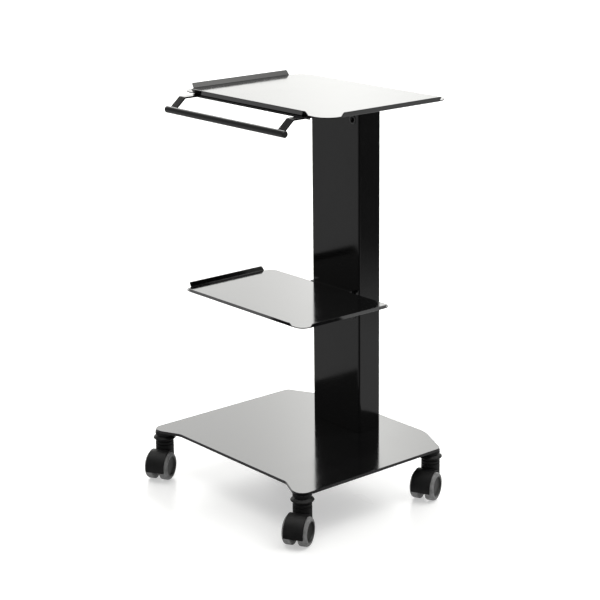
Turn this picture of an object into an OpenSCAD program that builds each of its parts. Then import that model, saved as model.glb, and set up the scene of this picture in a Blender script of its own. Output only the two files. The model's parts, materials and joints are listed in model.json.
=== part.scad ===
// Mobile equipment trolley: a base plate on four twin-wheel casters, one flat column,
// a cantilevered middle shelf, a lipped top shelf and a tube push handle.
// Millimetres, +Z up, floor at z = 0, front (handle side) towards -Y.

/* [Base] */
// Width of the base plate
base_w = 500; // [420:1:620]
// Distance from the column's front face forward to the plate's front ears
base_front = 309; // [250:1:380]
// Distance from the column's front face back to the plate's rear edge
base_back = 114; // [100:1:170]
// Thickness of the base plate
base_t = 6; // [4:0.5:10]
// How far the front edge is set back between the two ears
base_inset = 21; // [0:1:40]
// Corner radius of the front ears
base_corner_r = 20; // [10:1:32]
// Width of each rear corner's chamfer along X
chamfer_x = 90; // [40:1:110]
// Depth of each rear corner's chamfer along Y
chamfer_y = 44; // [20:1:48]

/* [Column] */
// Width of the column across the trolley
col_w = 150; // [110:1:220]
// Depth of the column
col_d = 60; // [50:1:90]
// Wall thickness of the column tube
col_wall = 3; // [2:0.5:5]
// Outer corner radius of the column tube
col_r = 5; // [3.5:0.5:8]
// Diameter of the two cable holes in the column's front face
cable_hole_d = 15; // [10:0.5:22]
// Distance from the column's side face to the cable holes' centre
cable_hole_inset = 19; // [16:1:40]
// Distance from a shelf's top face down to its cable hole's centre
cable_hole_drop = 52; // [48:1:80]

/* [Shelves] */
// Height of the middle shelf's top face above the base plate's top face
mid_rise = 314; // [240:1:380]
// Width of the middle shelf between its bend lines
mid_w = 386; // [300:1:460]
// Depth of the middle shelf
mid_depth = 240; // [190:1:280]
// Gap between the middle shelf's rear edge and the column
mid_gap = 16; // [6:1:30]
// Height of the middle shelf's lips
mid_lip_h = 8.5; // [5:0.5:20]
// Height of the top shelf's top face above the base plate's top face
top_rise = 727; // [600:1:860]
// Width of the top shelf between its bend lines
top_w = 461; // [380:1:560]
// Distance from the column's front face forward to the top shelf's front bend line
top_front = 222; // [180:1:290]
// Distance from the column's front face back to the top shelf's rear edge
top_back = 108; // [90:1:160]
// Height of the top shelf's lips
top_lip_h = 9.5; // [5:0.5:20]
// Sheet thickness of both shelves
shelf_t = 2; // [1.5:0.5:3]
// Corner radius of the top shelf
top_corner_r = 34; // [20:1:45]
// Bare front edge between the top shelf's corner curve and its front lip
top_front_bare = 16; // [2:1:40]
// Corner radius of the middle shelf
mid_corner_r = 19; // [12:1:32]
// Bare front edge between the middle shelf's corner curve and its front lip
mid_front_bare = 9; // [2:1:30]
// How far the lips lean outward from upright, in degrees
lip_lean = 35; // [10:1:60]
// Inner bend radius of the lips
bend_r = 1.5; // [1:0.5:3]
// Bare side edge between a shelf's corner curve and its side lip
side_bare = 2; // [1:1:15]

/* [Handle] */
// Length of the handle tube
handle_len = 374; // [300:1:440]
// Outer diameter of the handle tube
handle_d = 14; // [12:0.5:20]
// Wall thickness of the handle tube
handle_wall = 1.5; // [1:0.5:2.5]
// Distance from the top shelf's front bend line to the arms' bend
arm_reach = 38; // [25:1:60]
// Distance forward from the arms' bend to the tube's axis
arm_forward = 27; // [20:1:50]
// Distance from the flat of the arms down to the tube's axis
arm_drop = 23; // [20:1:50]
// Width of each arm
arm_w = 20; // [14:1:30]
// Distance from each tube end to the outer edge of its arm
tube_overhang = 6; // [4:1:20]
// Thickness of the arms and of the rail that carries them
arm_t = 3.5; // [3:0.5:6]

/* [Casters] */
// Diameter of the caster wheels
wheel_d = 60; // [50:1:75]
// Width of each wheel's tyre
tyre_w = 18.5; // [14:0.5:22]
// Overall width over the two wheels of a caster
caster_w = 52.5; // [46:1:60]
// Height from the floor to the underside of the base plate
caster_h = 100; // [94:1:130]
// Distance from the swivel axis to the wheel axle
trail = 25; // [18:1:28]
// Angle that the front casters stand at, in degrees
front_swivel = 30; // [0:1:45]
// Angle that the rear casters stand at, in degrees
rear_swivel = 24; // [0:1:45]
// Distance from the base plate's side edge to the swivel axis
caster_inset_x = 19; // [18:1:30]
// Distance from the front ears back to the front swivel axes
caster_inset_front = 18; // [16:1:30]
// Distance from the column's front face back to the rear swivel axes
caster_rear_y = 60; // [30:1:62]
// Diameter of the caster's swivel stem
stem_d = 10; // [8:1:11]
// Diameter of the caster's wheel axle
axle_d = 6; // [5:0.5:8]
// Diameter of the collar's widest rib
collar_rib_d = 48; // [44:1:56]
// Diameter of the collar's plain rings and of the hood's neck
collar_d = 39; // [36:1:42]

/* [Fits] */
// Radial running clearance of a shaft in its bore
run_fit = 0.05; // [0.02:0.01:0.09]
// Radial clearance of a screw or stud in a plain hole
hole_fit = 0.25; // [0.1:0.05:0.5]
// Radial gap that stands for a screw thread
thread_fit = 0.03; // [0.02:0.01:0.05]
// Gap between neighbouring pieces that move past each other
move_gap = 0.6; // [0.3:0.1:1]

/* [Hidden] */
$fn = 64;

black_lacquer = [0.02, 0.02, 0.02];
black_plastic = [0.04, 0.04, 0.04];
grey_rubber = [0.2, 0.2, 0.21];
zinc = [0.6, 0.6, 0.62];

// Heights
base_top = caster_h + base_t;
mid_top = base_top + mid_rise;
top_top = base_top + top_rise;
head_t = 5;
head_top = top_top - shelf_t;
col_top = head_top - head_t;

// Caster positions about the trolley's centre line and the column's front face
caster_x = base_w / 2 - caster_inset_x;
caster_front_y = -base_front + caster_inset_front;
wheel_r = wheel_d / 2;

// The origin is the middle of the outer box on the floor. The casters reach
// furthest to the sides and to the front, the base plate to the rear.
tyre_round = 6.5;
function reach_x(angle) = (caster_w / 2 - tyre_round) * cos(angle)
    + (wheel_r - tyre_round) * sin(angle) + tyre_round;
function reach_y(angle) = (wheel_r - tyre_round) * cos(angle)
    + (caster_w / 2 - tyre_round) * sin(angle) + tyre_round;
function trail_x(angle) = trail * sin(angle);
right_reach = caster_x + max(trail_x(front_swivel) + reach_x(front_swivel),
    trail_x(rear_swivel) + reach_x(rear_swivel));
left_reach = caster_x - min(trail_x(front_swivel) - reach_x(front_swivel),
    trail_x(rear_swivel) - reach_x(rear_swivel));
front_reach = -caster_front_y + trail * cos(front_swivel) + reach_y(front_swivel);
mid_plane_x = (left_reach - right_reach) / 2;
col_front_y = (front_reach - base_back) / 2;

module on_trolley() {
    translate([mid_plane_x, col_front_y, 0]) children();
}

module mirrored_x() {
    children();
    mirror([1, 0, 0]) children();
}

// Points of an arc about c, from angle a0 to a1
arc_steps = 12;
function arc(c, r, a0, a1, steps = arc_steps) =
    [for (i = [0 : steps]) c + r * [cos(a0 + (a1 - a0) * i / steps), sin(a0 + (a1 - a0) * i / steps)]];
function flip_x(pts) = [for (i = [len(pts) - 1 : -1 : 0]) [-pts[i][0], pts[i][1]]];

// ---- base plate ----
// The S-curves between the set-back front edge and the ears: two equal arcs and a slope
s_slope = 25;
s_curve_r = 30;
ear_flat = 1;
ear_inner_x = base_w / 2 - base_corner_r - ear_flat;
s_start_x = ear_inner_x - base_inset / tan(s_slope) - 2 * s_curve_r * tan(s_slope / 2);
inset_y = -base_front + base_inset;
chamfer_angle = atan(chamfer_y / chamfer_x);
chamfer_side_r = 14;
chamfer_back_r = 80;
side_tangent = chamfer_side_r * tan((90 - chamfer_angle) / 2);
back_tangent = chamfer_back_r * tan(chamfer_angle / 2);

// Right half of the plate's outline, from the front's middle round to the rear's middle
base_half = concat(
    arc([s_start_x, inset_y - s_curve_r], s_curve_r, 90, 90 - s_slope, 6),
    arc([ear_inner_x, -base_front + s_curve_r], s_curve_r, 270 - s_slope, 270, 6),
    arc([base_w / 2 - base_corner_r, -base_front + base_corner_r], base_corner_r, 270, 360),
    arc([base_w / 2 - chamfer_side_r, base_back - chamfer_y - side_tangent],
        chamfer_side_r, 0, 90 - chamfer_angle, 6),
    arc([base_w / 2 - chamfer_x - back_tangent, base_back - chamfer_back_r],
        chamfer_back_r, 90 - chamfer_angle, 90, 6)
);

foot_screw_d = 8;
foot_screw_x = col_w / 2 - 25;
foot_screw_y = [18, col_d - 18];

module foot_screw_places() {
    for (x = [-foot_screw_x, foot_screw_x], y = foot_screw_y) translate([x, y, 0]) children();
}

module base_plate() {
    color(black_lacquer) on_trolley() difference() {
        translate([0, 0, caster_h]) linear_extrude(base_t) polygon(concat(base_half, flip_x(base_half)));
        translate([0, 0, caster_h - 1]) foot_screw_places()
            cylinder(h = base_t + 2, d = foot_screw_d + 2 * hole_fit);
    }
}

// ---- column ----
foot_plate_t = 10;
weld_gap = 0.1;

module rounded_bar(w, d, r, h) {
    translate([0, d / 2, 0]) linear_extrude(h) polygon(concat(
        arc([w / 2 - r, -d / 2 + r], r, -90, 0), arc([w / 2 - r, d / 2 - r], r, 0, 90),
        arc([-w / 2 + r, d / 2 - r], r, 90, 180), arc([-w / 2 + r, -d / 2 + r], r, 180, 270)));
}

cable_hole_x = col_w / 2 - cable_hole_inset;
cable_hole_z = [mid_top - cable_hole_drop, top_top - cable_hole_drop];

module cable_hole_places() {
    for (z = cable_hole_z) translate([cable_hole_x, 0, z]) rotate([90, 0, 0]) children();
}

module column_tube() {
    color(black_lacquer) on_trolley() difference() {
        translate([0, 0, base_top]) rounded_bar(col_w, col_d, col_r, col_top - base_top);
        translate([0, col_wall, base_top - 1])
            rounded_bar(col_w - 2 * col_wall, col_d - 2 * col_wall, col_r - col_wall, col_top - base_top + 2);
        cable_hole_places() translate([0, 0, -col_wall - 1]) cylinder(h = col_wall + 2, d = cable_hole_d);
        bracket_screw_places() translate([0, 0, -col_wall - 1])
            cylinder(h = col_wall + 2, d = bracket_screw_d + 2 * thread_fit);
    }
}

module column_foot_plate() {
    color(black_lacquer) on_trolley() difference() {
        translate([0, col_wall + weld_gap, base_top]) rounded_bar(col_w - 2 * (col_wall + weld_gap),
            col_d - 2 * (col_wall + weld_gap), col_r - col_wall, foot_plate_t);
        translate([0, 0, base_top - 1]) foot_screw_places()
            cylinder(h = foot_plate_t + 2, d = foot_screw_d + 2 * thread_fit);
    }
}

// A button-head screw standing up from the underside of its head at z = 0
module button_screw(d, length) {
    socket_af = d * 0.5;
    head_h = d * 0.55;
    difference() {
        union() {
            cylinder(h = length, d = d);
            translate([0, 0, -head_h]) cylinder(h = head_h, d1 = d * 1.2, d2 = d * 1.75);
        }
        translate([0, 0, -head_h - 1]) cylinder(h = head_h * 0.6 + 1, d = socket_af, $fn = 6);
    }
}

module column_foot_screws() {
    color(zinc) on_trolley() translate([0, 0, caster_h]) foot_screw_places()
        button_screw(foot_screw_d, base_t + foot_plate_t);
}

// ---- top shelf's carrier on the column ----
head_x = col_w / 2 + 30;
head_front = 130;
head_rear = 88;
stud_d = 6;
head_stud_x = head_x - 15;
head_stud_y = [-head_front + 15, head_rear - 12];
rib_h = 28;
rib_t = 5;
rib_tip_h = 6;

module head_stud_places() {
    for (x = [-head_stud_x, head_stud_x], y = head_stud_y) translate([x, y, 0]) children();
}

module column_head_plate() {
    color(black_lacquer) on_trolley() difference() {
        union() {
            translate([-head_x, -head_front, col_top]) cube([2 * head_x, head_front + head_rear, head_t]);
            for (x = [-col_w / 2 + 25, col_w / 2 - 25]) translate([x + rib_t / 2, 0, col_top + 0.1])
                rotate([90, 0, -90]) linear_extrude(rib_t)
                    polygon([[0, 0], [head_front - 5, 0], [head_front - 5, -rib_tip_h], [0, -rib_h]]);
        }
        translate([0, 0, col_top - 1]) head_stud_places() cylinder(h = head_t + 2, d = stud_d + 2 * hole_fit);
    }
}

// Weld studs hang from a sheet's underside at z = 0; hex nuts sit on them
module weld_stud(length) {
    translate([0, 0, -length]) cylinder(h = length, d = stud_d);
}

nut_h = 5;
nut_af = 10;

module hex_nut() {
    difference() {
        cylinder(h = nut_h, d = nut_af / cos(30), $fn = 6);
        translate([0, 0, -1]) cylinder(h = nut_h + 2, d = stud_d + 2 * thread_fit);
    }
}

module top_shelf_studs() {
    color(zinc) on_trolley() translate([0, 0, head_top]) head_stud_places() weld_stud(head_t + nut_h + 3);
}

module top_shelf_nuts() {
    color(zinc) on_trolley() translate([0, 0, col_top - nut_h]) head_stud_places() hex_nut();
}

// ---- shelves ----
// A lip's section: x outward from the bend line, y up from the sheet's underside
function lip_section(h) =
    let (turn = 90 - lip_lean, ri = bend_r, ro = bend_r + shelf_t, c = [0, ro],
         along = [cos(turn), sin(turn)], rise = shelf_t + h,
         inner_end = c + ri * [sin(turn), -cos(turn)],
         outer_end = c + ro * [sin(turn), -cos(turn)],
         run_in = (rise - inner_end[1]) / along[1],
         run_out = (rise - outer_end[1]) / along[1])
    concat([[-2, shelf_t], [-2, 0]], arc(c, ro, 270, 270 + turn, 6),
           [outer_end + run_out * along, inner_end + run_in * along],
           arc(c, ri, 270 + turn, 270, 6));

// A straight lip along +X, its bend line on y = 0, leaning towards -Y, with raked, rounded ends
module lip(length, h) {
    rake = h * 0.12;
    round_r = h * 0.45;
    tilt = atan(rake / (h + shelf_t));
    top = shelf_t + h;
    intersection() {
        rotate([90, 0, 90]) translate([0, 0, -length / 2]) mirror([1, 0, 0])
            linear_extrude(length) polygon(lip_section(h));
        translate([0, 3, 0]) rotate([90, 0, 0]) linear_extrude(3 * h + 10) polygon(concat(
            [[length / 2, -1], [length / 2, 0]],
            arc([length / 2 - rake - round_r * tan((90 - tilt) / 2), top + 0.5 - round_r],
                round_r, 90 - (90 - tilt), 90, 4),
            arc([-length / 2 + rake + round_r * tan((90 - tilt) / 2), top + 0.5 - round_r],
                round_r, 90, 90 + (90 - tilt), 4),
            [[-length / 2, 0], [-length / 2, -1]]));
    }
}

// A sheet from y = -front to y = back with lips on its front and both sides
module lipped_sheet(w, front, back, corner_r, front_bare, h) {
    front_lip = w - 2 * (corner_r + front_bare);
    side_lip = front + back - 2 * (corner_r + side_bare);
    union() {
        translate([0, -front, 0]) rounded_bar(w, front + back, corner_r, shelf_t);
        translate([0, -front, 0]) lip(front_lip, h);
        mirrored_x() translate([w / 2, (back - front) / 2, 0]) rotate(90) lip(side_lip, h);
    }
}

module top_shelf() {
    color(black_lacquer) on_trolley() translate([0, 0, head_top])
        lipped_sheet(top_w, top_front, top_back, top_corner_r, top_front_bare, top_lip_h);
}

module mid_shelf() {
    color(black_lacquer) on_trolley() translate([0, -mid_gap, mid_top - shelf_t])
        lipped_sheet(mid_w, mid_depth, 0, mid_corner_r, mid_front_bare, mid_lip_h);
}

// ---- middle shelf's bracket ----
bracket_w = 124;
bracket_t = 3;
bracket_drop = 38;
bracket_reach = 150;
bracket_upstand = 1.5;
bracket_edge_gap = 0.4;
bracket_screw_d = 6;
bracket_screw_x = bracket_w / 2 - 20;
bracket_screw_z = mid_top - shelf_t - bracket_drop + 12;
bracket_stud_x = bracket_w / 2 - 18;
bracket_stud_y = [-mid_gap - 25, -bracket_reach + 15];

module bracket_screw_places() {
    for (x = [-bracket_screw_x, bracket_screw_x]) translate([x, 0, bracket_screw_z])
        rotate([90, 0, 0]) children();
}

module bracket_stud_places() {
    for (x = [-bracket_stud_x, bracket_stud_x], y = bracket_stud_y) translate([x, y, 0]) children();
}

module mid_shelf_bracket() {
    under = mid_top - shelf_t;
    color(black_lacquer) on_trolley() difference() {
        union() {
            translate([-bracket_w / 2, -bracket_t, under - bracket_drop])
                cube([bracket_w, bracket_t, bracket_drop]);
            translate([-bracket_w / 2, -mid_gap + bracket_edge_gap, under - bracket_t])
                cube([bracket_w, mid_gap - bracket_edge_gap, bracket_t + shelf_t + bracket_upstand]);
            translate([-bracket_w / 2, -bracket_reach, under - bracket_t])
                cube([bracket_w, bracket_reach, bracket_t]);
        }
        bracket_screw_places() translate([0, 0, -1])
            cylinder(h = bracket_t + 2, d = bracket_screw_d + 2 * hole_fit);
        translate([0, 0, under - bracket_t - 1]) bracket_stud_places()
            cylinder(h = bracket_t + 2, d = stud_d + 2 * hole_fit);
    }
}

module mid_bracket_screws() {
    color(zinc) on_trolley() bracket_screw_places() translate([0, 0, bracket_t]) mirror([0, 0, 1])
        button_screw(bracket_screw_d, bracket_t + col_wall + 8);
}

module mid_shelf_studs() {
    color(zinc) on_trolley() translate([0, 0, mid_top - shelf_t]) bracket_stud_places()
        weld_stud(bracket_t + nut_h + 3);
}

module mid_shelf_nuts() {
    color(zinc) on_trolley() translate([0, 0, mid_top - shelf_t - bracket_t - nut_h])
        bracket_stud_places() hex_nut();
}

// ---- handle ----
rail_depth = 52;
rail_stud_back = 40;
arm_outer_x = handle_len / 2 - tube_overhang;
arm_inner_x = arm_outer_x - arm_w;
rail_top = head_top;
rail_front_y = -top_front;
arm_bend_y = -top_front - arm_reach;
tube_y = arm_bend_y - arm_forward;
tube_z = rail_top - arm_t / 2 - arm_drop;
rail_stud_x = [-arm_inner_x + 20, -arm_inner_x / 3, arm_inner_x / 3, arm_inner_x - 20];
rail_stud_y = rail_front_y + rail_stud_back;

module rail_stud_places() {
    for (x = rail_stud_x) translate([x, rail_stud_y, 0]) children();
}

module handle_rail() {
    color(black_lacquer) on_trolley() difference() {
        translate([-arm_outer_x, rail_front_y, rail_top - arm_t])
            cube([2 * arm_outer_x, rail_depth, arm_t]);
        translate([0, 0, rail_top - arm_t - 1]) rail_stud_places()
            cylinder(h = arm_t + 2, d = stud_d + 2 * hole_fit);
    }
}

module handle_studs() {
    color(zinc) on_trolley() translate([0, 0, rail_top]) rail_stud_places() weld_stud(arm_t + nut_h + 3);
}

module handle_nuts() {
    color(zinc) on_trolley() translate([0, 0, rail_top - arm_t - nut_h]) rail_stud_places() hex_nut();
}

// An arm seen from the side: flat from the rail, then sloping down to the tube
arm_fold_r = 3;
arm_slope = atan2(arm_drop, arm_forward);

module arm_side_view() {
    half = arm_t / 2;
    bend = [arm_bend_y, rail_top - half];
    slope_end = [tube_y, tube_z];
    out = [-sin(arm_slope), cos(arm_slope)];
    difference() {
        polygon(concat(
            [[rail_front_y, rail_top], [rail_front_y, rail_top - arm_t]],
            [[bend[0] + half * tan(arm_slope / 2), bend[1] - half]],
            [slope_end - out * half, slope_end + out * half],
            arc([bend[0] + (arm_fold_r - half) * tan(arm_slope / 2), rail_top - arm_fold_r],
                arm_fold_r, 90 + arm_slope, 90, 4)));
        translate(slope_end) circle(d = handle_d + 0.02);
    }
}

module handle_arm(x) {
    translate([x, 0, 0]) rotate([90, 0, 90]) linear_extrude(arm_w) arm_side_view();
}

module handle_arm_left() {
    color(black_lacquer) on_trolley() handle_arm(-arm_outer_x);
}

module handle_arm_right() {
    color(black_lacquer) on_trolley() handle_arm(arm_inner_x);
}

module handle_tube() {
    color(black_lacquer) on_trolley() translate([-handle_len / 2, tube_y, tube_z]) rotate([0, 90, 0])
        difference() {
            cylinder(h = handle_len, d = handle_d);
            translate([0, 0, -1]) cylinder(h = handle_len + 2, d = handle_d - 2 * handle_wall);
        }
}

plug_depth = 12;
plug_cap_t = 1.5;

module handle_plugs() {
    color(black_plastic) on_trolley() translate([0, tube_y, tube_z]) mirrored_x()
        translate([handle_len / 2, 0, 0]) rotate([0, 90, 0]) union() {
            translate([0, 0, -plug_depth]) cylinder(h = plug_depth, d = handle_d - 2 * handle_wall - 2 * thread_fit);
            cylinder(h = plug_cap_t, d1 = handle_d, d2 = handle_d - 2);
        }
}

// ---- cable grommets ----
grommet_lip = 1.6;
grommet_wall = 1.5;
grommet_flange = 1.8;

module cable_grommets() {
    color(black_plastic) on_trolley() cable_hole_places() rotate_extrude() polygon([
        [cable_hole_d / 2 - grommet_wall, -col_wall - grommet_lip],
        [cable_hole_d / 2 + grommet_flange, -col_wall - grommet_lip],
        [cable_hole_d / 2 + grommet_flange, -col_wall - 0.02],
        [cable_hole_d / 2 - 0.02, -col_wall - 0.02],
        [cable_hole_d / 2 - 0.02, 0.02],
        [cable_hole_d / 2 + grommet_flange, 0.02],
        [cable_hole_d / 2 + grommet_flange, grommet_lip * 0.5],
        [cable_hole_d / 2 + grommet_flange * 0.5, grommet_lip],
        [cable_hole_d / 2 - grommet_wall, grommet_lip]]);
}

// ---- casters ----
fender_gap = 1.2;
fender_t = 2.3;
// The collar fills the height above the fender, less the neck that shows under it
neck_show = 9.1;
collar_h = caster_h - wheel_d - fender_gap - fender_t - neck_show;
ring = collar_h / 27.4;
boss_d = 22;
boss_h = collar_h - 11.4;
stem_tip_z = wheel_r + 12;
neck_top = caster_h - collar_h - move_gap;
fender_w = 41;
web_half = caster_w / 2 - tyre_w - 1.2;
hub_face = caster_w / 2;
hub_r = wheel_r * 0.725;
axle_half = caster_w / 2 - 6;
hub_dish = 3.5;

module at_caster(side_x, y, angle) {
    on_trolley() translate([side_x, y, 0]) rotate(angle) children();
}

module all_caster_places() {
    for (x = [-caster_x, caster_x], y = [caster_front_y, caster_rear_y]) translate([x, y, 0]) children();
}

module caster_bosses() {
    color(black_lacquer) on_trolley() all_caster_places() translate([0, 0, caster_h - boss_h])
        difference() {
            cylinder(h = boss_h, d = boss_d);
            translate([0, 0, -1]) cylinder(h = boss_h + 2, d = stem_d + 2 * thread_fit);
        }
}

module caster_stem() {
    color(zinc) union() {
        translate([0, 0, stem_tip_z]) cylinder(h = caster_h - stem_tip_z, d = stem_d);
    }
}

// The ribbed sleeve that hides the boss: stacked plain rings with one wide bevelled rib
module caster_collar() {
    r = collar_d / 2;
    rib = collar_rib_d / 2;
    bore = boss_d / 2 + 0.2;
    top = caster_h;
    color(black_plastic) rotate_extrude() polygon([
        [bore, top], [r, top], [r, top - 5 * ring], [r - 2, top - 6.5 * ring], [r - 2, top - 8 * ring],
        [rib - 3.5, top - 10 * ring], [rib - 0.6, top - 13 * ring], [rib, top - 14 * ring],
        [rib - 0.6, top - 15 * ring], [rib - 3.5, top - 17 * ring], [r - 2, top - 18.5 * ring],
        [r - 2, top - 20 * ring], [r - 0.7, top - 21 * ring], [r, top - 22 * ring],
        [r, top - 26 * ring], [r - 1.5, top - collar_h],
        [bore, top - collar_h]]);
}

// Angles about the axle, from the stem's side over the top to the trailing side
fender_from = 35;
fender_to = 192;
web_boss_r = 9;

// A sector of a disc about the axle between two angles; it is cut to its arc by a circle
module sector(r, a0, a1) {
    intersection() {
        circle(r = r);
        polygon(concat([[0, 0]], arc([0, 0], 2 * r, a0, a1, 6)));
    }
}

module fender_band(inner_r, outer_r) {
    difference() {
        sector(outer_r, fender_from, fender_to);
        circle(r = inner_r);
    }
}

module web_plate(r) {
    sector(r, fender_from - 25, fender_to);
    circle(r = web_boss_r);
}

module along_axle(width) {
    rotate([90, 0, 90]) translate([0, 0, -width / 2]) linear_extrude(width) children();
}

module caster_hood() {
    inner_r = wheel_r + fender_gap;
    outer_r = inner_r + fender_t;
    color(black_plastic) difference() {
        union() {
            translate([0, -trail, wheel_r]) along_axle(fender_w) fender_band(inner_r, outer_r);
            translate([0, -trail, wheel_r]) along_axle(2 * web_half) web_plate(outer_r - 0.6);
            intersection() {
                translate([0, 0, stem_tip_z - 6]) cylinder(h = neck_top - stem_tip_z + 6, d = collar_d);
                union() {
                    translate([0, -trail, wheel_r]) along_axle(collar_d + 2) difference() {
                        square([120, 120], center = true);
                        circle(r = inner_r);
                    }
                    translate([-web_half, -60, 0]) cube([2 * web_half, 120, 120]);
                }
            }
        }
        translate([0, 0, stem_tip_z - 0.5]) cylinder(h = neck_top, d = stem_d + 2 * run_fit);
        translate([0, -trail, wheel_r]) rotate([0, 90, 0])
            cylinder(h = 2 * web_half + 2, d = axle_d + 2 * thread_fit, center = true);
    }
}

module caster_axle() {
    color(zinc) translate([0, -trail, wheel_r]) rotate([0, 90, 0])
        cylinder(h = 2 * axle_half, d = axle_d, center = true);
}

// A hub's section: x from the wheel axis outwards, y along the axle from its inner face
module caster_hub() {
    color(black_plastic) translate([hub_face - tyre_w, -trail, wheel_r]) rotate([0, 90, 0]) difference() {
        rotate_extrude() polygon([
            [0, 0.8], [hub_r - 5, 0.8], [hub_r - 4, 0], [hub_r, 0], [hub_r, tyre_w - 1],
            [hub_r - 1, tyre_w], [hub_r - 2.2, tyre_w],
            [hub_r - 3, tyre_w - hub_dish], [5, tyre_w - hub_dish - 0.6], [0, tyre_w - hub_dish - 0.6]]);
        translate([0, 0, -1]) cylinder(h = axle_half - (hub_face - tyre_w) + 1.4, d = axle_d + 2 * run_fit);
    }
}

module caster_tyre() {
    r = wheel_r;
    s = tyre_round;
    color(grey_rubber) translate([hub_face - tyre_w, -trail, wheel_r]) rotate([0, 90, 0]) rotate_extrude()
        polygon(concat(
            [[hub_r + 0.03, 0], [r - 1.5, 0]],
            arc([r - 1.5, 1.5], 1.5, -90, 0, 4),
            arc([r - s, tyre_w - s], s, 0, 90, 8),
            [[hub_r + 0.03, tyre_w]]));
}

// Left and right are told from the trailing wheels' own side, with the stem behind
module wheel_side(right) {
    mirror([right ? 0 : 1, 0, 0]) children();
}

module fl_stem() { at_caster(-caster_x, caster_front_y, front_swivel) caster_stem(); }
module fl_collar() { at_caster(-caster_x, caster_front_y, front_swivel) caster_collar(); }
module fl_hood() { at_caster(-caster_x, caster_front_y, front_swivel) caster_hood(); }
module fl_axle() { at_caster(-caster_x, caster_front_y, front_swivel) caster_axle(); }
module fl_hub_left() { at_caster(-caster_x, caster_front_y, front_swivel) wheel_side(false) caster_hub(); }
module fl_hub_right() { at_caster(-caster_x, caster_front_y, front_swivel) wheel_side(true) caster_hub(); }
module fl_tyre_left() { at_caster(-caster_x, caster_front_y, front_swivel) wheel_side(false) caster_tyre(); }
module fl_tyre_right() { at_caster(-caster_x, caster_front_y, front_swivel) wheel_side(true) caster_tyre(); }

module fr_stem() { at_caster(caster_x, caster_front_y, front_swivel) caster_stem(); }
module fr_collar() { at_caster(caster_x, caster_front_y, front_swivel) caster_collar(); }
module fr_hood() { at_caster(caster_x, caster_front_y, front_swivel) caster_hood(); }
module fr_axle() { at_caster(caster_x, caster_front_y, front_swivel) caster_axle(); }
module fr_hub_left() { at_caster(caster_x, caster_front_y, front_swivel) wheel_side(false) caster_hub(); }
module fr_hub_right() { at_caster(caster_x, caster_front_y, front_swivel) wheel_side(true) caster_hub(); }
module fr_tyre_left() { at_caster(caster_x, caster_front_y, front_swivel) wheel_side(false) caster_tyre(); }
module fr_tyre_right() { at_caster(caster_x, caster_front_y, front_swivel) wheel_side(true) caster_tyre(); }

module bl_stem() { at_caster(-caster_x, caster_rear_y, rear_swivel) caster_stem(); }
module bl_collar() { at_caster(-caster_x, caster_rear_y, rear_swivel) caster_collar(); }
module bl_hood() { at_caster(-caster_x, caster_rear_y, rear_swivel) caster_hood(); }
module bl_axle() { at_caster(-caster_x, caster_rear_y, rear_swivel) caster_axle(); }
module bl_hub_left() { at_caster(-caster_x, caster_rear_y, rear_swivel) wheel_side(false) caster_hub(); }
module bl_hub_right() { at_caster(-caster_x, caster_rear_y, rear_swivel) wheel_side(true) caster_hub(); }
module bl_tyre_left() { at_caster(-caster_x, caster_rear_y, rear_swivel) wheel_side(false) caster_tyre(); }
module bl_tyre_right() { at_caster(-caster_x, caster_rear_y, rear_swivel) wheel_side(true) caster_tyre(); }

module br_stem() { at_caster(caster_x, caster_rear_y, rear_swivel) caster_stem(); }
module br_collar() { at_caster(caster_x, caster_rear_y, rear_swivel) caster_collar(); }
module br_hood() { at_caster(caster_x, caster_rear_y, rear_swivel) caster_hood(); }
module br_axle() { at_caster(caster_x, caster_rear_y, rear_swivel) caster_axle(); }
module br_hub_left() { at_caster(caster_x, caster_rear_y, rear_swivel) wheel_side(false) caster_hub(); }
module br_hub_right() { at_caster(caster_x, caster_rear_y, rear_swivel) wheel_side(true) caster_hub(); }
module br_tyre_left() { at_caster(caster_x, caster_rear_y, rear_swivel) wheel_side(false) caster_tyre(); }
module br_tyre_right() { at_caster(caster_x, caster_rear_y, rear_swivel) wheel_side(true) caster_tyre(); }

base_plate();
caster_bosses();
column_tube();
column_foot_plate();
column_foot_screws();
column_head_plate();
top_shelf();
top_shelf_studs();
top_shelf_nuts();
mid_shelf();
mid_shelf_bracket();
mid_bracket_screws();
mid_shelf_studs();
mid_shelf_nuts();
handle_rail();
handle_studs();
handle_nuts();
handle_arm_left();
handle_arm_right();
handle_tube();
handle_plugs();
cable_grommets();
fl_stem();
fl_collar();
fl_hood();
fl_axle();
fl_hub_left();
fl_hub_right();
fl_tyre_left();
fl_tyre_right();
fr_stem();
fr_collar();
fr_hood();
fr_axle();
fr_hub_left();
fr_hub_right();
fr_tyre_left();
fr_tyre_right();
bl_stem();
bl_collar();
bl_hood();
bl_axle();
bl_hub_left();
bl_hub_right();
bl_tyre_left();
bl_tyre_right();
br_stem();
br_collar();
br_hood();
br_axle();
br_hub_left();
br_hub_right();
br_tyre_left();
br_tyre_right();
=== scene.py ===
"""Looks for the mobile equipment trolley, in a pale studio with one camera.

Every visible node gets a procedural material, and some are remade with rounded edges.
Lengths are metres and colours are linear.
"""

import json
import math

import bmesh
import bpy
from mathutils import Matrix, Vector


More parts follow.
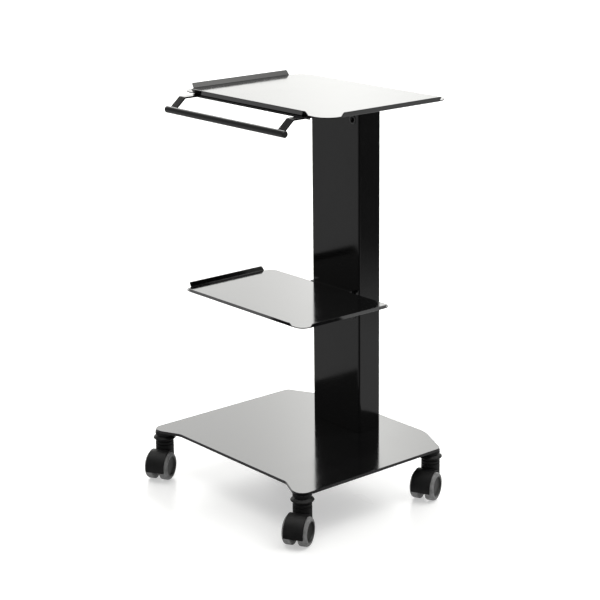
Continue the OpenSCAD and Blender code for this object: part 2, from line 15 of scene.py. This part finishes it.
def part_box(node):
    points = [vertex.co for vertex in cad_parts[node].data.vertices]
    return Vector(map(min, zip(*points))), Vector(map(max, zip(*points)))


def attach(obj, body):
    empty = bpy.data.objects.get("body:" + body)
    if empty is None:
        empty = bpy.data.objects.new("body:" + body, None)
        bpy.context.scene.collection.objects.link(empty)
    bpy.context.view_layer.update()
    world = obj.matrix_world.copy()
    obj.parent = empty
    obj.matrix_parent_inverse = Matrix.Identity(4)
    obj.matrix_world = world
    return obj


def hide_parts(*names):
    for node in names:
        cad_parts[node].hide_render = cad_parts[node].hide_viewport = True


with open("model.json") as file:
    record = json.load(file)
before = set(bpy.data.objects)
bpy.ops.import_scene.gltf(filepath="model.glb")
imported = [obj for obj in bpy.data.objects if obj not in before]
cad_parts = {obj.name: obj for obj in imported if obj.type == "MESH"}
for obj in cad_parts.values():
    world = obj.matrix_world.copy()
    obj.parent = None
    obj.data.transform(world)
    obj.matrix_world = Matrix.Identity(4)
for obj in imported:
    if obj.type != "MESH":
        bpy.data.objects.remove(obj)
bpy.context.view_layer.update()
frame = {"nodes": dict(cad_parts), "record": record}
nodes = frame["nodes"]


# ---- node trees ----


class Nodes:
    """Adds nodes to one tree and wires them by socket name."""

    def __init__(self, tree):
        self.tree = tree

    def add(self, kind, links=None, **settings):
        """Adds a node. A setting fills the socket of that name, or else the node's property."""
        node = self.tree.nodes.new(kind)
        for key, value in settings.items():
            if key in node.inputs:
                node.inputs[key].default_value = value
            else:
                setattr(node, key, value)
        for socket, source in (links or {}).items():
            self.tree.links.new(source, node.inputs[socket])
        return node

    def ramp(self, value, span, levels, kind="SMOOTHSTEP"):
        """Maps a span of the value to a pair of levels, which hold on beyond its ends."""
        node = self.add("ShaderNodeMapRange", {"Value": value}, interpolation_type=kind)
        sockets = ("From Min", "From Max", "To Min", "To Max")
        for socket, number in zip(sockets, (*span, *levels)):
            node.inputs[socket].default_value = number
        return node.outputs["Result"]

    def combine(self, operation, a, b=0.0):
        """One sum on two values, each a number or another node's output."""
        node = self.add("ShaderNodeMath", operation=operation)
        for socket, value in zip(node.inputs, (a, b)):
            if isinstance(value, (int, float)):
                socket.default_value = value
            else:
                self.tree.links.new(value, socket)
        return node.outputs[0]

    def product(self, value, *others):
        for other in others:
            value = self.combine("MULTIPLY", value, other)
        return value

    def along(self, vector, direction):
        """How far a vector reaches along a direction."""
        node = self.add("ShaderNodeVectorMath", operation="DOT_PRODUCT")
        self.tree.links.new(vector, node.inputs[0])
        node.inputs[1].default_value = direction
        return node.outputs["Value"]


# ---- materials ----


class Shader(Nodes):
    """A Principled material being built, from a plain colour and roughness."""

    # Noise keeps near a half, so only these middle spans of it are mapped
    GLOSS_SPAN = (0.3, 0.7)
    TINT_SPAN = (0.35, 0.65)
    BEVEL_SAMPLES = 6

    def __init__(self, name, color, roughness, **sockets):
        self.material = bpy.data.materials.new(name)
        self.material.use_nodes = True
        super().__init__(self.material.node_tree)
        self.surface = self.tree.nodes["Principled BSDF"]
        self.surface.inputs["Base Color"].default_value = (*color, 1)
        self.surface.inputs["Roughness"].default_value = roughness
        for socket, value in sockets.items():
            self.surface.inputs[socket.replace("_", " ")].default_value = value
        self.place = self.add("ShaderNodeTexCoord").outputs["Object"]
        self.normal = None

    def stretched(self, x, y, z):
        """Coordinates scaled along each axis, for streaks."""
        node = self.add("ShaderNodeVectorMath", operation="MULTIPLY")
        self.tree.links.new(self.place, node.inputs[0])
        node.inputs[1].default_value = (x, y, z)
        return node.outputs["Vector"]

    def noise(self, scale, detail, place=None):
        """A noise value from 0 to 1, at this many features in a metre."""
        node = self.add(
            "ShaderNodeTexNoise", {"Vector": place or self.place}, Scale=scale, Detail=detail
        )
        return node.outputs["Fac"]

    def tint(self, noise, dark, light):
        """Lets the base colour wander between two colours."""
        ramp = self.add("ShaderNodeValToRGB", {"Fac": noise})
        for stop, position, color in zip(
            ramp.color_ramp.elements, self.TINT_SPAN, (dark, light)
        ):
            stop.position = position
            stop.color = (*color, 1)
        self.tree.links.new(ramp.outputs["Color"], self.surface.inputs["Base Color"])

    def gloss(self, noise, smooth, rough):
        """Lets the roughness wander between two values."""
        roughness = self.ramp(noise, self.GLOSS_SPAN, (smooth, rough), "LINEAR")
        self.tree.links.new(roughness, self.surface.inputs["Roughness"])

    def edges(self, radius):
        """Rounds the look of sharp edges."""
        bevel = self.add("ShaderNodeBevel", Radius=radius, samples=self.BEVEL_SAMPLES)
        self.normal = bevel.outputs["Normal"]
        self.tree.links.new(self.normal, self.surface.inputs["Normal"])

    def bump(self, noise, depth):
        """Raises the surface by up to this depth. It comes after edges()."""
        links = {"Height": noise, "Normal": self.normal}
        bump = self.add("ShaderNodeBump", links, Distance=depth, Strength=1.0)
        self.normal = bump.outputs["Normal"]
        self.tree.links.new(self.normal, self.surface.inputs["Normal"])


def lacquer():
    """Black stove enamel on steel: deep gloss, faint orange peel, a trace of handling marks."""
    shader = Shader("black_lacquer", (0.004, 0.004, 0.0045), 0.1, IOR=1.5)
    shader.tint(shader.noise(9, 4), (0.0022, 0.0022, 0.0024), (0.0038, 0.0038, 0.004))
    shader.gloss(shader.noise(14, 5), 0.085, 0.125)
    shader.edges(0.0009)
    orange_peel = shader.noise(420, 2)
    shader.bump(orange_peel, 0.000012)
    return shader.material


def moulded(name, dark, light, roughness, edge, specular=0.5):
    """Moulded plastic: fine spark-eroded grain, slightly uneven gloss."""
    shader = Shader(name, dark, roughness, IOR=1.47, Specular_IOR_Level=specular)
    shader.tint(shader.noise(60, 4), dark, light)
    shader.gloss(shader.noise(180, 4), roughness - 0.05, roughness + 0.06)
    shader.edges(edge)
    grain = shader.noise(2600, 2)
    shader.bump(grain, 0.00004)
    return shader.material


def tyre_rubber():
    """Grey soft tread: matte, finely grained, a little scuffed and dusty."""
    shader = Shader("grey_tyre", (0.12, 0.12, 0.122), 0.62, IOR=1.48)
    shader.tint(shader.noise(110, 6), (0.135, 0.135, 0.136), (0.195, 0.195, 0.196))
    shader.gloss(shader.noise(240, 5), 0.52, 0.72)
    shader.edges(0.0006)
    grain = shader.noise(1900, 3)
    shader.bump(grain, 0.00007)
    return shader.material


def zinc():
    """Bright zinc plate: metal with fine drawn streaks and a cloudy passivated tint."""
    shader = Shader("zinc_steel", (0.6, 0.6, 0.62), 0.28, Metallic=1.0)
    shader.tint(shader.noise(240, 5), (0.5, 0.5, 0.53), (0.68, 0.68, 0.7))
    shader.gloss(shader.noise(900, 4, shader.stretched(1, 1, 9)), 0.2, 0.38)
    shader.edges(0.0003)
    streaks = shader.noise(3000, 2, shader.stretched(1, 1, 6))
    shader.bump(streaks, 0.00001)
    return shader.material


LOOKS = {
    "black_lacquer": lacquer(),
    "zinc_steel": zinc(),
    "caster_plastic": moulded(
        "caster_plastic",
        dark=(0.0055, 0.0055, 0.0057),
        light=(0.009, 0.009, 0.0092),
        roughness=0.5,
        edge=0.0008,
        specular=0.22,
    ),
    "hub_plastic": moulded(
        "hub_plastic",
        dark=(0.02, 0.0205, 0.019),
        light=(0.031, 0.0315, 0.03),
        roughness=0.45,
        edge=0.0005,
    ),
    "grey_tyre": tyre_rubber(),
    "grommet_plastic": moulded(
        "grommet_plastic",
        dark=(0.03, 0.03, 0.031),
        light=(0.042, 0.042, 0.043),
        roughness=0.4,
        edge=0.0003,
    ),
    "plug_plastic": moulded(
        "plug_plastic",
        dark=(0.012, 0.012, 0.0125),
        light=(0.018, 0.018, 0.0185),
        roughness=0.38,
        edge=0.0003,
    ),
}


# ---- pieces ----

# Edges that turn by more than this are sharp
SHARP = math.radians(32)
# Faces that lie within this angle of each other are joined up
FLAT = math.radians(0.4)
# Points this close are one point
WELD = 1e-6
# How far large faces rule the shading of the rounded edges beside them, of 100
LARGE_FACE_WEIGHT = 80

# Nodes that get truly rounded edges: the radius, and the steps round each edge
EASED = {
    "base_plate": (0.0009, 3),
    "column_tube": (0.0005, 2),
    "top_shelf": (0.0005, 3),
    "mid_shelf": (0.0005, 3),
    "mid_shelf_bracket": (0.0005, 2),
    "column_head_plate": (0.0006, 2),
    "handle_rail": (0.0005, 2),
    "handle_arm_left": (0.0006, 3),
    "handle_arm_right": (0.0006, 3),
    "handle_plugs": (0.0003, 2),
}
for corner in ("fl", "fr", "bl", "br"):
    EASED[corner + "_hood"] = (0.0008, 3)
    EASED[corner + "_hub_left"] = EASED[corner + "_hub_right"] = (0.0005, 2)


def in_scene(name, data):
    """A new object, linked to the scene."""
    made = bpy.data.objects.new(name, data)
    bpy.context.scene.collection.objects.link(made)
    return made


def round_edges(work, radius, steps):
    """Rounds the sharp edges of a mesh being edited."""
    bmesh.ops.bevel(
        work,
        geom=[e for e in work.edges if len(e.link_faces) == 2 and e.calc_face_angle() > SHARP],
        offset=radius,
        segments=steps,
        profile=0.5,
        affect="EDGES",
        clamp_overlap=True,
    )


def eased(source, radius, steps):
    """A copy of a node's mesh with its flat faces joined up and its sharp edges rounded."""
    piece = in_scene(source.name + "_eased", source.data.copy())
    work = bmesh.new()
    work.from_mesh(piece.data)
    bmesh.ops.remove_doubles(work, verts=work.verts, dist=WELD)
    bmesh.ops.dissolve_limit(work, angle_limit=FLAT, verts=work.verts, edges=work.edges)
    round_edges(work, radius, steps)
    work.to_mesh(piece.data)
    work.free()
    even = piece.modifiers.new("even_normals", "WEIGHTED_NORMAL")
    even.keep_sharp = True
    even.weight = LARGE_FACE_WEIGHT
    return piece


def front_rail(source, radius, steps):
    """The rail that carries the arms, as a flat strip with its front edge turned down.

    A dark gap parts the turned edge from the shelf's lip above it.
    """
    low, high = (Vector(corner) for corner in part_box(source.name))
    gap, drop, sheet = 0.002, 0.0062, 0.0027
    gap_back = low.y + 2 * sheet
    section = [
        (low.y, high.z - gap),
        (low.y, high.z - drop),
        (low.y + sheet, high.z - drop),
        (low.y + sheet, low.z),
        (high.y, low.z),
        (high.y, high.z),
        (gap_back, high.z),
        (gap_back, high.z - gap),
    ]
    work = bmesh.new()
    rings = [[work.verts.new((x, y, z)) for y, z in section] for x in (low.x, high.x)]
    for i in range(len(section)):
        j = (i + 1) % len(section)
        work.faces.new((rings[0][i], rings[0][j], rings[1][j], rings[1][i]))
    work.faces.new(list(reversed(rings[0])))
    work.faces.new(rings[1])
    bmesh.ops.recalc_face_normals(work, faces=work.faces)
    round_edges(work, radius, steps)
    mesh = bpy.data.meshes.new(source.name + "_turned")
    work.to_mesh(mesh)
    work.free()
    return in_scene(mesh.name, mesh)


body_of = {
    node: body
    for body, held in frame["record"]["behaviour"]["bodies"].items()
    for node in held
}

for entry in frame["record"]["subparts"]:
    node, slot = entry["node"], entry["material_slot"]
    piece = nodes[node]
    if node in EASED:
        remake = front_rail if node == "handle_rail" else eased
        piece = remake(piece, *EASED[node])
        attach(piece, body_of[node])
        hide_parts(node)
    piece.data.materials.clear()
    piece.data.materials.append(LOOKS[slot])
    for face in piece.data.polygons:
        face.use_smooth = True
    piece.data.set_sharp_from_angle(angle=SHARP)


# ---- studio ----

# The camera's turn to the left of +Y, its tilt down and its roll, where it stands, and its lens
VIEW_YAW = math.radians(50.085)
VIEW_PITCH = math.radians(16.29)
VIEW_ROLL = math.radians(-0.64)
VIEW_PLACE = Vector((2.6367, -2.1962, 1.4153))
VIEW_LENS = 103.67
VIEW_SENSOR = 36
VIEW_FAR = 1000


def heading(yaw, pitch=0.0):
    """The direction that is turned this far left of +Y and this far down."""
    return Vector(
        (-math.sin(yaw) * math.cos(pitch), math.cos(yaw) * math.cos(pitch), -math.sin(pitch))
    )


# Level directions: away from the camera, and to its right
AHEAD = heading(VIEW_YAW)
ASIDE = Vector((math.cos(VIEW_YAW), math.sin(VIEW_YAW), 0))


def studio_floor():
    """A plain pale floor, far larger than the view, of faintly glossy paper.

    Glossy surfaces see a painted glow in its place, with painted shade that dims it where the
    lights don't reach: to the far right, a little on the left, and towards the camera.
    """
    mesh = bpy.data.meshes.new("studio_floor")
    half = 400
    corners = [(-half, -half, 0), (half, -half, 0), (half, half, 0), (-half, half, 0)]
    mesh.from_pydata(corners, [], [(0, 1, 2, 3)])
    floor = in_scene("studio_floor", mesh)
    shader = Shader(
        "studio_paper",
        (0.62, 0.62, 0.62),
        0.3,
        Emission_Color=(1, 1, 1, 1),
        Emission_Strength=0.425,
    )
    shader.gloss(shader.noise(3, 3), 0.26, 0.34)
    aside = shader.along(shader.place, ASIDE)
    spot = shader.add("ShaderNodeVectorMath", operation="NORMALIZE")
    shader.tree.links.new(shader.place, spot.inputs[0])
    to_camera = shader.along(spot.outputs["Vector"], -AHEAD)
    # Painted shade on the glow that reflections see: dimmer to the far right, a little on the
    # left and towards the camera
    glow = shader.product(
        shader.ramp(aside, (1.05, 2.3), (0.62, 0.08)),
        shader.ramp(aside, (-0.5, 0.4), (0.77, 1)),
        shader.ramp(to_camera, (0.6, 0.95), (1, 0.08)),
    )
    # Glossy rays see this painted light in place of the lit paper
    painted_floor_reflection = shader.add("ShaderNodeEmission", {"Strength": glow})
    path = shader.add("ShaderNodeLightPath")
    paper = shader.surface.outputs["BSDF"]
    mix = shader.add("ShaderNodeMixShader")
    sources = (path.outputs["Is Glossy Ray"], paper, painted_floor_reflection.outputs["Emission"])
    for socket, source in zip(mix.inputs, sources):
        shader.tree.links.new(source, socket)
    end = shader.tree.nodes["Material Output"]
    shader.tree.links.new(mix.outputs["Shader"], end.inputs["Surface"])
    mesh.materials.append(shader.material)


def studio_world():
    """A bright backdrop behind the trolley, softboxes overhead and to the right, dim walls.

    Spans are how far a unit direction reaches up, ahead, aside or towards a light.
    """
    world = bpy.data.worlds.new("studio")
    world.use_nodes = True
    background = world.node_tree.nodes["Background"]
    sums = Nodes(world.node_tree)
    direction = sums.add("ShaderNodeTexCoord").outputs["Generated"]
    up = sums.along(direction, (0, 0, 1))

    # The backdrop stands behind, brightens as it climbs and ends below the overhead light
    behind = sums.ramp(sums.along(direction, AHEAD), (0.35, 0.8), (0, 1))
    climb = sums.ramp(up, (0.1, 0.4), (1.83, 3.03), "LINEAR")
    below_top = sums.ramp(up, (0.5, 0.66), (1, 0))

    # A lamp's glow on it, just right of the middle and stronger higher up
    glow_centre, glow_width = 0.031, 0.043
    off_centre = sums.combine("SUBTRACT", sums.along(direction, ASIDE), glow_centre)
    off_centre = sums.combine("DIVIDE", off_centre, glow_width)
    bell = sums.combine("EXPONENT", sums.product(off_centre, off_centre, -1.0))
    glow = sums.product(bell, sums.ramp(up, (0.12, 0.37), (0.06, 0.42), "LINEAR"))
    backdrop = sums.product(behind, climb, below_top, sums.combine("ADD", glow, 1.0))

    overhead = sums.ramp(up, (0.8, 0.93), (0, 2.6))

    # The right softbox is a disc with its lower part cut off level
    right_light = (ASIDE * 0.73 + Vector((0, 0, 0.68))).normalized()
    right = sums.product(
        sums.ramp(sums.along(direction, right_light), (0.88, 0.96), (0, 3.3)),
        sums.ramp(up, (0.635, 0.68), (0, 1)),
    )

    walls = sums.ramp(up, (-0.1, 0.5), (0.27, 0.32))
    total = sums.combine(
        "ADD", sums.combine("MAXIMUM", backdrop, walls), sums.combine("ADD", overhead, right)
    )
    sums.tree.links.new(total, background.inputs["Strength"])
    background.inputs["Color"].default_value = (1, 1, 0.98, 1)
    bpy.context.scene.world = world


def studio_camera():
    """The camera stands where the trolley's edges line up with the reference view."""
    data = bpy.data.cameras.new("view")
    data.lens = VIEW_LENS
    data.sensor_width = VIEW_SENSOR
    data.clip_end = VIEW_FAR
    camera = in_scene("view", data)
    forward = heading(VIEW_YAW, VIEW_PITCH)
    down = forward.cross(ASIDE)
    right = math.cos(VIEW_ROLL) * ASIDE - math.sin(VIEW_ROLL) * down
    down = math.sin(VIEW_ROLL) * ASIDE + math.cos(VIEW_ROLL) * down
    turn = Matrix((right, -down, -forward)).transposed().to_4x4()
    camera.matrix_world = Matrix.Translation(VIEW_PLACE) @ turn
    bpy.context.scene.camera = camera


studio_floor()
studio_world()
studio_camera()
bpy.context.scene.view_settings.view_transform = "Standard"
